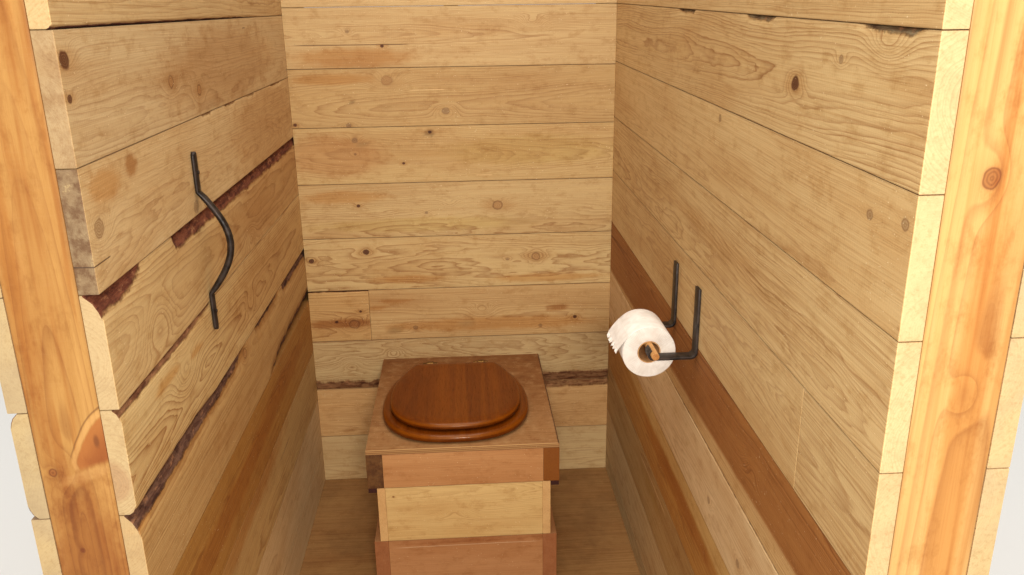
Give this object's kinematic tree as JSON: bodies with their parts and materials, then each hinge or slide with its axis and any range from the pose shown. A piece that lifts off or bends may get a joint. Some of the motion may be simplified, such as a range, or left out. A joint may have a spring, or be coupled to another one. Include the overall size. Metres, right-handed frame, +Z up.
{
  "type": "outhouse toilet stall",
  "caption": "Open-fronted plank privy stall with double-skinned walls on a raised floor, a boxed seat with a hinged lid, a forged grab handle and a paper roll.",
  "frame": {"origin": "on the ground, under the middle of the stall's outer box", "axes": "+X to the right seen from the open front, +Y towards the back wall, +Z up"},
  "size_m": [1.14, 1.704, 2.092],
  "materials": {
    "plank_inner": "rough-sawn pine, dry and unfinished",
    "plank_outer": "rough-sawn pine, slightly weathered",
    "frame_timber": "planed softwood framing timber",
    "post_timber": "planed softwood with knots, warm orange",
    "deck_timber": "worn grey-brown floor, matt",
    "box_upper_board": "planed pale board",
    "box_lower_board": "reddish framing timber",
    "rail_timber": "planed softwood framing timber",
    "cleat_timber": "dark stained strip",
    "panel_ply": "matt plywood, worn",
    "seat_oak": "stained oak under gloss varnish",
    "hinge_brass": "dull brass",
    "foot_rubber": "matt rubber",
    "forged_iron": "hand-forged iron, blackened and waxed",
    "rod_wood": "plain wooden dowel",
    "roll_paper": "soft white tissue paper",
    "core_card": "plain grey-brown cardboard"
  },
  "bodies": {
    "stall": {"floor_joists": "frame_timber", "floor_rims": "frame_timber", "floor_deck": "deck_timber", "left_sole_plate": "frame_timber", "left_top_plate": "frame_timber", "left_post": "post_timber", "left_studs": "frame_timber", "left_inner_planks": "plank_inner", "left_outer_planks": "plank_outer", "back_sole_plate": "frame_timber", "back_top_plate": "frame_timber", "back_studs": "frame_timber", "back_inner_planks": "plank_inner", "back_outer_planks": "plank_outer", "right_sole_plate": "frame_timber", "right_top_plate": "frame_timber", "right_post": "post_timber", "right_studs": "frame_timber", "right_inner_planks": "plank_inner", "right_outer_planks": "plank_outer", "box_lower_front": "box_lower_board", "box_lower_left": "box_lower_board", "box_lower_right": "box_lower_board", "box_upper_front": "box_upper_board", "box_upper_left": "box_upper_board", "box_upper_right": "box_upper_board", "rail_front": "rail_timber", "rail_back": "rail_timber", "rail_left": "rail_timber", "rail_right": "rail_timber", "seat_cleats": "cleat_timber", "seat_panel": "panel_ply", "seat_ring": "seat_oak", "ring_feet": "foot_rubber", "hinge_posts": "hinge_brass", "ring_leaves": "hinge_brass", "grab_handle": "forged_iron", "holder_strap_near": "forged_iron", "holder_strap_far": "forged_iron", "holder_rod": "rod_wood"},
    "lid": {"seat_lid": "seat_oak", "lid_leaves": "hinge_brass", "lid_feet": "foot_rubber"},
    "roll": {"paper_roll": "roll_paper", "roll_core": "core_card"}
  },
  "joints": [
    {"name": "lid_hinge", "type": "hinge", "parent": "stall", "child": "lid", "pos_m": [-0.02, 0.601, 0.5235], "axis": [-1, 0, 0], "range_deg": [0, 102]},
    {"name": "roll_spin", "type": "hinge", "parent": "stall", "child": "roll", "pos_m": [0.351, -0.099, 0.859], "axis": [0, 1, 0], "continuous": true}
  ]
}
